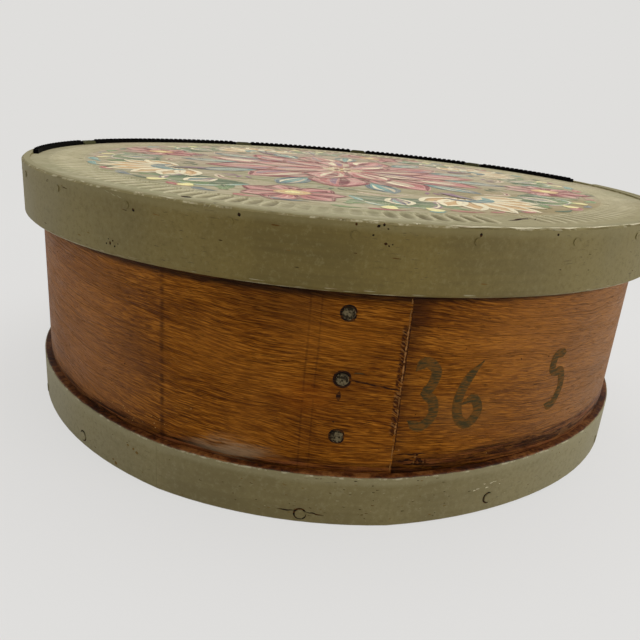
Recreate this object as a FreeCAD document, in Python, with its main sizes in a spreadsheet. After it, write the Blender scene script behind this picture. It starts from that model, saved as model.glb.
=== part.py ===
"""Round bentwood box with a slip-on lid.

Three bent hoops, each lapped on itself, hold two round heads of tongued and grooved planks.
The frame has its origin at the middle of the underside, +Z up. Lengths are millimetres, angles degrees.
Angles go anticlockwise seen from above, 0 on +X, and -90 is the front.
"""

import FreeCAD
import Part
import Sketcher

import math
import os

from FreeCAD import Placement, Rotation, Vector

SIZES = {
    # heads, the round floor and the round lid top
    "inside_radius": 168.0,
    "inside_depth": 109.0,
    "floor_thickness": 9.0,
    "top_thickness": 9.0,
    "plank_width": 114.0,
    "tongue_length": 4.0,
    "tongue_thickness": 3.0,
    # the tall hoop that makes the wall
    "wall_thickness": 3.5,
    "wall_ease": 0.5,
    "wall_tip_angle": -112.4,
    "wall_lap_sweep": 32.6,
    "wall_ramp_sweep": 40.0,
    "layer_gap": 0.2,
    "lid_seat_gap": 0.3,
    # the low hoop round the foot
    "foot_thickness": 3.5,
    "foot_height": 23.5,
    "foot_ease": 0.8,
    "foot_tip_angle": 95.0,
    "foot_lap_sweep": 30.0,
    "foot_ramp_sweep": 40.0,
    "foot_drop_sweep": 30.0,
    # the hoop of the lid
    "rim_clearance": 1.0,
    "rim_thickness": 3.8,
    "rim_height": 27.0,
    "rim_ease": 1.0,
    "rim_stand": 1.0,
    "rim_tip_angle": -12.0,
    "rim_lap_sweep": 28.0,
    "rim_ramp_sweep": 40.0,
    # nails that hold the laps, clinched inside
    "lap_nail_head": 5.2,
    "lap_nail_rise": 0.9,
    "lap_nail_shank": 2.0,
    "clinch_length": 7.0,
    "clinch_gap": 0.1,
    "wall_nail_inset_angle": 7.8,
    "wall_nail_low": 40.0,
    "wall_nail_middle": 65.0,
    "wall_nail_high": 92.0,
    # small nails that hold the hoops to the heads, and tacks in the laps of the two low hoops
    "small_nail_head": 3.0,
    "small_nail_rise": 0.3,
    "small_nail_shank": 1.6,
    "head_gap": 0.05,
    "board_nail_depth": 14.0,
    "floor_nail_head": 4.4,
    "floor_nail_height": 5.0,
    "lid_nail_drop": 4.5,
    "lid_nail_count": 25,
    "lid_nail_angle": -87.9,
    "band_nail_edge": 6.5,
    "band_nail_inset_angle": 7.0,
    "rim_tack_spacing_angle": 5.0,
    # beaded moulding round the back of the lid top, in lengths between saddles
    "bead_pitch_angle": 1.39,
    "bead_length": 4.0,
    "bead_height": 2.8,
    "bead_width": 2.6,
    "bead_setback": 0.3,
    "strip_height": 2.2,
    "saddle_length": 13.0,
    "saddle_height": 2.3,
    "saddle_width": 3.4,
    "saddle_setback": 0.3,
    "saddle_gap": 0.2,
}

# Where the saddles sit, and where the first and the last length of beading stop.
SADDLE_ANGLES = (52.2, 86.0, 119.7, 169.8)
BEADING_START_ANGLE = 21.0
BEADING_STOP_ANGLE = 198.0
# Half of a saddle's outline, from its foot to its flat top, in shares of its half length and height.
SADDLE_OUTLINE = ((1.0, 0.0), (1.0, 0.45), (0.87, 0.82), (0.68, 1.0))
# The nails of the floor are driven by eye, clear of the joints between its boards: each has an angle
# and how many times its shank's width it sits above the line of nails.
FLOOR_NAIL_PLACES = (
    (-129.6, 0.3125), (-91.5, -0.375), (-64.0, 1.25), (-31.0, 0.1875), (3.0, -0.25), (35.0, 0.125),
    (68.0, 0.5), (104.0, -0.3125), (137.0, 0.0), (173.0, 0.375), (210.0, -0.1875),
)
PLANKS = ("front", "middle", "back")
# How far, in degrees, one bent length of a hoop runs into the next so that they fuse.
JOIN_SWEEP = 0.1
# The heads of the nails are prisms with this many sides, on the square and blunt shanks of cut nails,
# which keeps all of them and their holes light.
SMALL_NAIL_SIDES = 8
LAP_NAIL_SIDES = 12
SHANK_SIDES = 4
HALF_TURN = 180.0
# The most that a drilled piece may overlap its nails, in cubic millimetres.
OVERLAP_ALLOWED = 0.01

doc = FreeCAD.newDocument("bentwood_box")
sheet = doc.addObject("Spreadsheet::Sheet", "sheet")
for row, (word, number) in enumerate(SIZES.items(), start=1):
    sheet.set(f"A{row}", word)
    sheet.set(f"B{row}", str(number))
    sheet.setAlias(f"B{row}", word)
doc.recompute()

# Sizes that several pieces share, written as formulas on the sheet's aliases.
SHEET = {word: f"sheet.{word}" for word in SIZES}
WALL_STEP = "(sheet.wall_thickness + sheet.layer_gap)"
FOOT_STEP = "(sheet.foot_thickness + sheet.layer_gap)"
RIM_STEP = "(sheet.rim_thickness + sheet.layer_gap)"
WALL_OUTSIDE = "(sheet.inside_radius + sheet.wall_thickness)"
RIM_INSIDE = f"({WALL_OUTSIDE} + {WALL_STEP} + sheet.rim_clearance)"
TOP_UNDERSIDE = "(sheet.floor_thickness + sheet.inside_depth)"
TOP_FACE = f"({TOP_UNDERSIDE} + sheet.top_thickness)"
RIM_BOTTOM = f"({TOP_FACE} + sheet.rim_stand - sheet.rim_height)"
WALL_HEIGHT = f"({TOP_UNDERSIDE} - sheet.lid_seat_gap)"
WALL_END = "(sheet.wall_tip_angle + sheet.wall_lap_sweep)"


def value(formula):
    """The number that a formula on the sheet gives."""
    return float(sheet.evalExpression(formula))


def origin_plane(body, role):
    """One of the planes or axes that a body is built on."""
    return next(item for item in body.Origin.OriginFeatures if item.Role == role)


def new_body(label):
    body = doc.addObject("PartDesign::Body", label)
    body.Label = label
    body.AllowCompound = True
    return body


def new_sketch(body, name, role):
    sketch = body.newObject("Sketcher::SketchObject", name)
    sketch.AttachmentSupport = [(origin_plane(body, role), "")]
    sketch.MapMode = "FlatFace"
    return sketch


def draw_outline(sketch, corners):
    """Closes straight lines through the corners, and ties each corner's x and y to its formulas."""
    points = [Vector(value(x), value(y), 0) for x, y in corners]
    for i, start in enumerate(points):
        sketch.addGeometry(Part.LineSegment(start, points[(i + 1) % len(points)]))
    for i in range(len(points)):
        sketch.addConstraint(Sketcher.Constraint("Coincident", i, 2, (i + 1) % len(points), 1))
    for i, (x, y) in enumerate(corners):
        for kind, formula, axis in (("DistanceX", x, -2), ("DistanceY", y, -1)):
            if formula == "0":
                sketch.addConstraint(Sketcher.Constraint("PointOnObject", i, 1, axis))
                continue
            index = sketch.addConstraint(Sketcher.Constraint(kind, -1, 1, i, 1, value(formula)))
            sketch.setExpression(f"Constraints[{index}]", formula)


def place_upright(sketch, angle, height, shift="0", shift_angle="0"):
    """Turns a sketch on the XZ plane about the vertical, lifts it, and moves its own vertical axis
    by shift towards shift_angle."""
    sketch.AttachmentOffset = Placement(Vector(), Rotation(Vector(0, 1, 0), 1))
    sketch.setExpression("AttachmentOffset.Base.x", f"{shift} * cos(({shift_angle}) * 1deg)")
    sketch.setExpression("AttachmentOffset.Base.y", height)
    sketch.setExpression("AttachmentOffset.Base.z", f"-1 * {shift} * sin(({shift_angle}) * 1deg)")
    sketch.setExpression("AttachmentOffset.Rotation.Angle", angle)


def bend(body, name, strip, radius, start, sweep, shift="0", shift_angle="0"):
    """One bent length of a hoop: the strip's cross section swept about a vertical axis."""
    thickness, ease, bottom, height = strip
    sketch = new_sketch(body, f"{name}_section", "XZ_Plane")
    outside = f"{radius} + {thickness}"
    draw_outline(sketch, (
        (radius, "0"),
        (f"{outside} - {ease}", "0"),
        (outside, ease),
        (outside, f"{height} - {ease}"),
        (f"{outside} - {ease}", height),
        (radius, height),
    ))
    place_upright(sketch, start, bottom, shift, shift_angle)
    turn = body.newObject("PartDesign::Revolution", name)
    turn.Profile = sketch
    turn.ReferenceAxis = (sketch, ["V_Axis"])
    turn.setExpression("Angle", sweep)
    body.Tip = turn


def ramp_shift(radius, step, sweep):
    """How far the axis of a ramp is set back, so that the ramp leaves a circle of that radius as a
    tangent and has risen by step after sweep."""
    top = f"({radius} + {step})"
    return f"(({top} * {top} - {radius} * {radius}) / (2 * {radius} - 2 * {top} * cos({sweep} * 1deg)))"


def ramp_turn(radius, step, sweep):
    """The angle that the ramp turns through about its own axis."""
    top = f"({radius} + {step})"
    shift = ramp_shift(radius, step, sweep)
    return f"(atan2({top} * sin({sweep} * 1deg); {top} * cos({sweep} * 1deg) + {shift}) / 1deg)"


def ramp_up(body, name, strip, radius, step, tip, sweep):
    """The strip rises from the circle to lie over its own tip."""
    start = f"({tip} - {sweep})"
    shift = ramp_shift(radius, step, sweep)
    turn = ramp_turn(radius, step, sweep)
    bend(body, name, strip, f"({radius} + {shift})", start, turn, shift, f"{start} + 180")


def ramp_down(body, name, strip, radius, step, top_angle, sweep):
    """The strip comes down from the lap under it to the circle again."""
    stop = f"({top_angle} + {sweep})"
    shift = ramp_shift(radius, step, sweep)
    turn = ramp_turn(radius, step, sweep)
    bend(body, name, strip, f"({radius} + {shift})", f"({stop} - {turn})", turn, shift, f"{stop} + 180")


def lapped_hoop(body, strip, radius, step, tip, lap, ramp):
    """A strip bent round once and lapped over its own tip."""
    bend(body, "under_layer", strip, radius, tip, f"360 - {ramp}")
    ramp_up(body, "ramp", strip, radius, step, tip, ramp)
    bend(body, "lap", strip, f"({radius} + {step})", f"{tip} - {JOIN_SWEEP}", f"{lap} + {JOIN_SWEEP}")


def make_wall():
    body = new_body("wall_strip")
    strip = (SHEET["wall_thickness"], SHEET["wall_ease"], "0", WALL_HEIGHT)
    lapped_hoop(body, strip, SHEET["inside_radius"], WALL_STEP, SHEET["wall_tip_angle"],
                SHEET["wall_lap_sweep"], SHEET["wall_ramp_sweep"])
    return body


def make_foot():
    """The foot hoop follows the wall: out over the wall's lap, on the same axis as the wall's own
    ramp, down again past the lap's end, and then over its own tip at the back."""
    body = new_body("foot_strip")
    strip = (SHEET["foot_thickness"], SHEET["foot_ease"], "0", SHEET["foot_height"])
    tip, lap, ramp = SHEET["foot_tip_angle"], SHEET["foot_lap_sweep"], SHEET["foot_ramp_sweep"]
    drop = SHEET["foot_drop_sweep"]
    wall_ramp_start = "(sheet.wall_tip_angle - sheet.wall_ramp_sweep)"
    bend(body, "left_layer", strip, WALL_OUTSIDE, tip, f"{wall_ramp_start} + 360 - {tip}")
    wall_ramp = (SHEET["inside_radius"], WALL_STEP, SHEET["wall_ramp_sweep"])
    shift, turn = ramp_shift(*wall_ramp), ramp_turn(*wall_ramp)
    bend(body, "wall_ramp", strip, f"({WALL_OUTSIDE} + {shift})", wall_ramp_start, turn, shift,
         f"{wall_ramp_start} + 180")
    bend(body, "over_wall_lap", strip, f"({WALL_OUTSIDE} + {WALL_STEP})",
         f"sheet.wall_tip_angle - {JOIN_SWEEP}", f"{SHEET['wall_lap_sweep']} + 2 * {JOIN_SWEEP}")
    ramp_down(body, "wall_drop", strip, WALL_OUTSIDE, WALL_STEP, WALL_END, drop)
    bend(body, "right_layer", strip, WALL_OUTSIDE, f"({WALL_END} + {drop})",
         f"{tip} - {ramp} - {WALL_END} - {drop}")
    ramp_up(body, "own_ramp", strip, WALL_OUTSIDE, FOOT_STEP, tip, ramp)
    bend(body, "own_lap", strip, f"({WALL_OUTSIDE} + {FOOT_STEP})", f"{tip} - {JOIN_SWEEP}",
         f"{lap} + {JOIN_SWEEP}")
    return body


def make_rim():
    body = new_body("rim_strip")
    strip = (SHEET["rim_thickness"], SHEET["rim_ease"], RIM_BOTTOM, SHEET["rim_height"])
    lapped_hoop(body, strip, RIM_INSIDE, RIM_STEP, SHEET["rim_tip_angle"], SHEET["rim_lap_sweep"],
                SHEET["rim_ramp_sweep"])
    return body


def make_plank(head, index, radius, thickness, bottom):
    """One plank of a round head. Each has a tongue on its back edge for the next one's groove,
    and the two outer planks are wide enough to reach the round edge."""
    first, last = index == 0, index == len(PLANKS) - 1
    half = f"{radius}"
    low = "0" if first else f"({half} + (2 * {index} - {len(PLANKS)}) * sheet.plank_width / 2)"
    high = f"(2 * {half})" if last else (
        f"({half} + (2 * {index + 1} - {len(PLANKS)}) * sheet.plank_width / 2)")
    under = f"(({thickness} - sheet.tongue_thickness) / 2)"
    over = f"(({thickness} + sheet.tongue_thickness) / 2)"
    corners = [(low, "0"), (high, "0")]
    if not last:
        reach = f"{high} + sheet.tongue_length"
        corners += [(high, under), (reach, under), (reach, over), (high, over)]
    corners += [(high, thickness), (low, thickness)]
    if not first:
        reach = f"{low} + sheet.tongue_length"
        corners += [(low, over), (reach, over), (reach, under), (low, under)]
    body = new_body(f"{head}_{PLANKS[index]}_length")
    sketch = new_sketch(body, "section", "YZ_Plane")
    draw_outline(sketch, corners)
    sketch.setExpression("AttachmentOffset.Base.x", f"-1 * {half}")
    sketch.setExpression("AttachmentOffset.Base.y", bottom)
    pad = body.newObject("PartDesign::Pad", "length")
    pad.Profile = sketch
    pad.Midplane = True
    pad.setExpression("Length", f"2 * {half}")
    body.Tip = pad
    disc = doc.addObject("Part::Cylinder", f"{head}_{PLANKS[index]}_round")
    disc.setExpression("Radius", radius)
    disc.setExpression("Height", thickness)
    disc.setExpression("Placement.Base.z", bottom)
    plank = doc.addObject("Part::Common", f"{head}_{PLANKS[index]}_plank")
    plank.Base = body
    plank.Tool = disc
    return plank


def add_prism(body, name, sides, width, start, length, role="YZ_Plane"):
    """A prism that stands on one of the body's planes, from start, along the plane's normal."""
    prism = body.newObject("PartDesign::AdditivePrism", name)
    prism.AttachmentSupport = [(origin_plane(body, role), "")]
    prism.MapMode = "FlatFace"
    prism.Polygon = sides
    prism.setExpression("Circumradius", f"{width} / 2")
    prism.AttachmentOffset = Placement(Vector(), Rotation(Vector(0, 0, 1), HALF_TURN / sides))
    prism.setExpression("Height", length)
    prism.setExpression("AttachmentOffset.Base.z", start)
    body.Tip = prism
    return prism


def bevel_head(body, size):
    """Bevels the edges of the face of a nail's head, which lies furthest along X."""
    doc.recompute()
    base = body.Tip
    faces = base.Shape.Faces
    end = max(range(len(faces)), key=lambda i: faces[i].CenterOfMass.x)
    bevel = body.newObject("PartDesign::Chamfer", "head_bevel")
    bevel.Base = (base, [f"Face{end + 1}"])
    bevel.setExpression("Size", size)
    body.Tip = bevel


def make_nail(label, sides, head, rise, shank, length):
    """A nail along X, its tip towards the axis of the box. The surface of the wood is at x = 0, and
    the flat underside of the head stands clear of it, because that surface is curved."""
    body = new_body(label)
    add_prism(body, "shank", SHANK_SIDES, shank, f"-1 * ({length})", f"{length} + sheet.head_gap")
    add_prism(body, "head", sides, head, SHEET["head_gap"], rise)
    return body


def clinch(nail, shank, length, bent):
    """Bends the tip of a nail down over the inside of the wall, for the length bent."""
    tip = add_prism(nail, "clinched_tip", SMALL_NAIL_SIDES, shank, "0", bent, "XY_Plane")
    tip.AttachmentOffset = Placement(Vector(), Rotation(Vector(1, 0, 0), HALF_TURN))
    tip.setExpression("AttachmentOffset.Base.x", f"{shank} / 2 - ({length})")


def surface_radius(wood, angle, height):
    """How far out the surface of a hoop lies at an angle and a height."""
    turn = Rotation(Vector(0, 0, 1), angle)
    reach = 2 * wood.Shape.BoundBox.XMax
    line = Part.makeLine(Vector(0, 0, height), turn.multVec(Vector(reach, 0, 0)) + Vector(0, 0, height))
    inside = line.common(wood.Shape)
    return max(math.hypot(vertex.X, vertex.Y) for vertex in inside.Vertexes)


def copies(label, piece, places):
    """One group of the same piece. A place is a radius, an angle and a height."""
    shapes = []
    for radius, angle, height in places:
        turn = Rotation(Vector(0, 0, 1), angle)
        place = Placement(turn.multVec(Vector(radius, 0, 0)) + Vector(0, 0, height), turn)
        shapes += [solid.transformed(place.toMatrix()) for solid in piece.Shape.Solids]
    group = doc.addObject("Part::Feature", label)
    group.Shape = Part.makeCompound(shapes)
    group.Label = label
    return group


def nails(label, nail, wood, places):
    """Copies of one nail, each with its head on the surface of the wood at an angle and a height."""
    doc.recompute()
    return copies(label, nail, [(surface_radius(wood, angle, height), angle, height)
                                for angle, height in places])


def drill(label, wood, *groups):
    """The wood without the space that its nails take."""
    space = groups[0]
    if len(groups) > 1:
        space = doc.addObject("Part::Compound", f"{label}_nail_space")
        space.Links = list(groups)
    cut = doc.addObject("Part::Cut", label)
    cut.Base = wood
    cut.Tool = space
    cut.Label = label
    doc.recompute()
    for group in groups:
        for nail in group.Shape.Solids:
            if nail.common(cut.Shape).Volume > OVERLAP_ALLOWED:
                raise RuntimeError(f"{label} is not drilled for a nail of {group.Label}")
    return cut


def stand_on_lid(body, name, sketch, inside, width):
    """Runs a section outward from a radius for its width, standing on the lid's boards."""
    sketch.setExpression("AttachmentOffset.Base.y", TOP_FACE)
    sketch.setExpression("AttachmentOffset.Base.z", inside)
    pad = body.newObject("PartDesign::Pad", name)
    pad.Profile = sketch
    pad.setExpression("Length", width)
    body.Tip = pad
    return pad


def make_beading(label, start, stop):
    """A length of beaded moulding between two angles: a low strip with as many whole beads as fit."""
    pitch = SIZES["bead_pitch_angle"]
    count = int((stop - start) / pitch)
    lead = (stop - start - (count - 1) * pitch) / 2
    body = new_body(label)
    inside = f"({RIM_INSIDE} - sheet.bead_width)"
    section = new_sketch(body, "strip_section", "XZ_Plane")
    draw_outline(section, (
        (inside, "0"),
        (RIM_INSIDE, "0"),
        (RIM_INSIDE, "sheet.strip_height"),
        (inside, "sheet.strip_height"),
    ))
    place_upright(section, f"-1 * {lead}", TOP_FACE)
    strip = body.newObject("PartDesign::Revolution", "strip")
    strip.Profile = section
    strip.ReferenceAxis = (section, ["V_Axis"])
    strip.setExpression("Angle", f"{stop - start}")
    body.Tip = strip
    half, top = "(sheet.bead_length / 2)", SHEET["bead_height"]
    outline = new_sketch(body, "bead_section", "YZ_Plane")
    draw_outline(outline, (
        (f"-1 * {half}", "0"),
        (half, "0"),
        (f"{half} / 2", top),
        (f"-1 * {half} / 2", top),
    ))
    bead = stand_on_lid(body, "bead", outline, f"({inside} + sheet.bead_setback)",
                        "sheet.bead_width - 2 * sheet.bead_setback")
    pattern = body.newObject("PartDesign::PolarPattern", "beads")
    pattern.Originals = [bead]
    pattern.Axis = (origin_plane(body, "Z_Axis"), [""])
    pattern.setExpression("Angle", f"{count - 1} * sheet.bead_pitch_angle")
    pattern.Occurrences = count
    body.Tip = pattern
    body.Placement = Placement(Vector(), Rotation(Vector(0, 0, 1), start + lead))
    return body


def make_saddle():
    """The low block with rounded ends that stands between two lengths of beading."""
    body = new_body("saddle")
    inside = f"({RIM_INSIDE} - sheet.saddle_width - sheet.saddle_setback)"
    outline = new_sketch(body, "block_section", "YZ_Plane")
    right = [(f"{along} * sheet.saddle_length / 2", f"{up} * sheet.saddle_height" if up else "0")
             for along, up in SADDLE_OUTLINE]
    left = [(f"-1 * {along}", up) for along, up in reversed(right)]
    draw_outline(outline, right + left)
    stand_on_lid(body, "block", outline, inside, SHEET["saddle_width"])
    return body


def beading_spans():
    """Where each length of beading starts and stops, clear of the saddles."""
    half = SIZES["saddle_length"] / 2 + SIZES["saddle_gap"]
    clear = math.degrees(math.asin(half / (value(RIM_INSIDE) - SIZES["bead_width"])))
    starts = [BEADING_START_ANGLE] + [angle + clear for angle in SADDLE_ANGLES]
    stops = [angle - clear for angle in SADDLE_ANGLES] + [BEADING_STOP_ANGLE]
    return list(zip(starts, stops))


def check_and_export(pieces):
    """Stops on any failed object, then writes each piece."""
    doc.recompute()
    for item in doc.Objects:
        bad = [state for state in item.State if state in ("Invalid", "Error")]
        if bad:
            raise RuntimeError(f"{item.Name} is {bad}")
    os.makedirs("parts", exist_ok=True)
    for piece in pieces:
        if piece.Shape.isNull() or not piece.Shape.isValid() or not piece.Shape.Solids:
            raise RuntimeError(f"{piece.Label} has no valid shape")
        shape = Part.makeCompound(piece.Shape.Solids)
        shape.exportStep(os.path.join("parts", f"{piece.Label}.step"))
        print(f"{piece.Label}: {len(shape.Solids)} solids, {shape.Volume / 1000:.2f} cm3")


wall = make_wall()
foot = make_foot()
rim = make_rim()
floor_planks = [make_plank("floor", i, SHEET["inside_radius"], SHEET["floor_thickness"], "0")
                for i in range(len(PLANKS))]
lid_planks = [make_plank("lid", i, RIM_INSIDE, SHEET["top_thickness"], TOP_UNDERSIDE)
              for i in range(len(PLANKS))]

SMALL = (SMALL_NAIL_SIDES, SHEET["small_nail_head"], SHEET["small_nail_rise"], SHEET["small_nail_shank"])
FLOOR = (SMALL_NAIL_SIDES, SHEET["floor_nail_head"], SHEET["small_nail_rise"], SHEET["small_nail_shank"])
LAP_NAIL_LENGTH = (f"({WALL_STEP} + sheet.wall_thickness + sheet.clinch_gap + "
                   "sheet.lap_nail_shank)")

wall_nail = make_nail("wall_nail", LAP_NAIL_SIDES, SHEET["lap_nail_head"], SHEET["lap_nail_rise"],
                      SHEET["lap_nail_shank"], LAP_NAIL_LENGTH)
bevel_head(wall_nail, f"{SHEET['lap_nail_rise']} / 2")
clinch(wall_nail, SHEET["lap_nail_shank"], LAP_NAIL_LENGTH, SHEET["clinch_length"])
foot_tack = make_nail("foot_tack", *SMALL, f"{FOOT_STEP} + {SHEET['foot_thickness']} + "
                      f"{SHEET['wall_thickness']} - {SHEET['layer_gap']}")
rim_tack = make_nail("rim_tack", *SMALL, f"{RIM_STEP} + {SHEET['rim_thickness']} - "
                     f"{SHEET['layer_gap']}")
floor_nail = make_nail("floor_nail", *FLOOR, f"{SHEET['foot_thickness']} + {SHEET['wall_thickness']} + "
                       f"{SHEET['board_nail_depth']}")
lid_nail = make_nail("lid_nail", *SMALL, f"{SHEET['rim_thickness']} + {SHEET['board_nail_depth']}")

wall_nail_angle = value(WALL_END) - SIZES["wall_nail_inset_angle"]
wall_nails = nails("wall_lap_nails", wall_nail, wall,
                   [(wall_nail_angle, SIZES[name])
                    for name in ("wall_nail_low", "wall_nail_middle", "wall_nail_high")])
floor_nails = nails("floor_nails", floor_nail, foot,
                    [(angle, SIZES["floor_nail_height"] + above * SIZES["small_nail_shank"])
                     for angle, above in FLOOR_NAIL_PLACES])
foot_nail_angle = SIZES["foot_tip_angle"] + SIZES["foot_lap_sweep"] - SIZES["band_nail_inset_angle"]
foot_tacks = nails("foot_lap_tacks", foot_tack, foot,
                   [(foot_nail_angle, SIZES["band_nail_edge"]),
                    (foot_nail_angle, SIZES["foot_height"] - SIZES["band_nail_edge"])])
lid_nail_height = value(TOP_FACE) - SIZES["lid_nail_drop"]
lid_nails = nails("lid_nails", lid_nail, rim,
                  [(SIZES["lid_nail_angle"] + 360 * i / SIZES["lid_nail_count"], lid_nail_height)
                   for i in range(int(SIZES["lid_nail_count"]))])
rim_nail_angle = SIZES["rim_tip_angle"] + SIZES["rim_lap_sweep"] - SIZES["band_nail_inset_angle"]
rim_nail_low = value(RIM_BOTTOM) + SIZES["band_nail_edge"]
rim_tacks = nails("lid_lap_tacks", rim_tack, rim,
                  [(rim_nail_angle, rim_nail_low),
                   (rim_nail_angle - SIZES["rim_tack_spacing_angle"], rim_nail_low)])

pieces = [
    drill("wall_hoop", wall, wall_nails, floor_nails, foot_tacks),
    drill("foot_hoop", foot, floor_nails, foot_tacks),
    drill("lid_hoop", rim, lid_nails, rim_tacks),
    wall_nails, floor_nails, foot_tacks, lid_nails, rim_tacks,
]
for name, plank in zip(PLANKS, floor_planks):
    pieces.append(drill(f"floor_{name}_board", plank, floor_nails))
for name, plank in zip(PLANKS, lid_planks):
    pieces.append(drill(f"lid_{name}_board", plank, lid_nails))
for number, (start, stop) in enumerate(beading_spans(), start=1):
    pieces.append(make_beading(f"beading_{number}", start, stop))
saddle = make_saddle()
doc.recompute()
pieces.append(copies("beading_saddles", saddle, [(0, angle, 0) for angle in SADDLE_ANGLES]))
check_and_export(pieces)
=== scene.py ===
"""Dresses the bentwood box: wood, worn paint, the carved and painted lid, nails and beading.

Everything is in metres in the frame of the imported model, with its origin at the middle of the
underside and +Z up. Angles are degrees anticlockwise seen from above, -90 is the front.
"""

import math
import random

import bmesh
import bpy
from mathutils import Matrix, Vector
from mathutils.bvhtree import BVHTree


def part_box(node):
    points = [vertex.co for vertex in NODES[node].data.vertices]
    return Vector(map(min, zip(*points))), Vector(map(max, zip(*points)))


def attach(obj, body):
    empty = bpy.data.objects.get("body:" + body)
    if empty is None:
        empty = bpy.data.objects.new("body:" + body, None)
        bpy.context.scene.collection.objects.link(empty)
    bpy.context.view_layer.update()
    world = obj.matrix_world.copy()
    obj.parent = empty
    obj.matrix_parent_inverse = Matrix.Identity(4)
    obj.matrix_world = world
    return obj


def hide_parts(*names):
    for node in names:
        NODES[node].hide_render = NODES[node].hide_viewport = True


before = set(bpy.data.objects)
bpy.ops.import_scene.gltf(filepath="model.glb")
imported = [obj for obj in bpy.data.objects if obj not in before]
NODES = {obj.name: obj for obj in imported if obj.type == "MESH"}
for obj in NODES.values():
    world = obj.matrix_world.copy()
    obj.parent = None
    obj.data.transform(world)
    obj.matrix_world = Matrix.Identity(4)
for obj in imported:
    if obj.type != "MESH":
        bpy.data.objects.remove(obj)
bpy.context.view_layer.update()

MM = 0.001

# ---- sizes, from the frame
FOOT_LOW, FOOT_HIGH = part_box("foot_hoop")
RIM_LOW, RIM_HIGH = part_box("lid_hoop")
BOARD_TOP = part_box("lid_middle_board")[1][2]
BOARD_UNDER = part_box("lid_middle_board")[0][2]
BOARD_RADIUS = -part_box("lid_front_board")[0][1]
JOINT_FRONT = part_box("lid_middle_board")[0][1]
JOINT_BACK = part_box("lid_back_board")[0][1]
WALL_RADIUS = -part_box("wall_hoop")[0][0]
WALL_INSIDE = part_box("floor_middle_board")[1][0]
LAYER_GAP = 0.2 * MM
LAP_RADIUS = 2 * WALL_RADIUS - WALL_INSIDE + LAYER_GAP
FOOT_TOP = FOOT_HIGH[2]
LID_EDGE = RIM_LOW[2]
RIM_RADIUS = -RIM_LOW[0]

# ---- places on the hoops: angles, heights in mm
# the free end of the wall's lap, and the wall's other end, hidden behind it
LAP_END = -79.8
TIP_ANGLE = LAP_END - 32.6
WALL_NAIL_ANGLE = LAP_END - 7.8
WALL_NAIL_HEIGHTS = (40.0, 65.0, 92.0)
LAP_TEARS = ((42.0, 60.0), (64.5, 88.0))
NUMBER_HEIGHT = 57.0

# ---- camera, fitted to the photograph
CAMERA_PLACE = Vector((0.0, -0.3956, 0.1642))
CAMERA_PITCH, CAMERA_YAW, CAMERA_ROLL = 0.3314, -0.0148, 0.0856
FOCAL_LENGTH, SENSOR = 34.99, 36.0
NEAREST, FARTHEST = 0.01, 100.0


def make_camera():
    """The camera: pitched down, turned by its yaw and then rolled about its own line of sight."""
    forward = Vector((math.sin(CAMERA_YAW) * math.cos(CAMERA_PITCH),
                      math.cos(CAMERA_YAW) * math.cos(CAMERA_PITCH), -math.sin(CAMERA_PITCH)))
    level = Vector((math.cos(CAMERA_YAW), -math.sin(CAMERA_YAW), 0.0))
    upright = level.cross(forward)
    right = level * math.cos(CAMERA_ROLL) + upright * math.sin(CAMERA_ROLL)
    up = -level * math.sin(CAMERA_ROLL) + upright * math.cos(CAMERA_ROLL)
    data = bpy.data.cameras.new("camera")
    data.lens, data.sensor_width = FOCAL_LENGTH, SENSOR
    data.clip_start, data.clip_end = NEAREST, FARTHEST
    camera = bpy.data.objects.new("camera", data)
    turn = Matrix((right, up, -forward)).transposed().to_4x4()
    camera.matrix_world = Matrix.Translation(CAMERA_PLACE) @ turn
    bpy.context.collection.objects.link(camera)
    bpy.context.scene.camera = camera


# ---- materials: the node graph
def paint(red, green, blue):
    """A colour written as sRGB bytes, in the linear values that Blender works in."""
    channels = [byte / 255 for byte in (red, green, blue)]
    linear = [((c + 0.055) / 1.055) ** 2.4 if c > 0.04045 else c / 12.92 for c in channels]
    return (*linear, 1.0)


def operator(name):
    """A method that makes a Math node of that name from a signal and what it is combined with."""
    return lambda signal, *others: signal.graph.calculate(name, signal, *others)


class Signal:
    """A number that the nodes of a material work out. Arithmetic with it makes more nodes."""

    def __init__(self, graph, socket):
        self.graph = graph
        self.socket = socket

    __add__ = __radd__ = operator("ADD")
    __mul__ = __rmul__ = operator("MULTIPLY")
    __sub__ = operator("SUBTRACT")
    __truediv__ = operator("DIVIDE")
    __abs__ = operator("ABSOLUTE")

    def __rsub__(self, other):
        return self.graph.calculate("SUBTRACT", other, self)

    def between(self, low, high):
        """0 at low and 1 at high, with a soft step between."""
        node = self.graph.new("ShaderNodeMapRange", (self, low, high), interpolation_type="SMOOTHSTEP")
        return Signal(self.graph, node.outputs[0])


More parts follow.
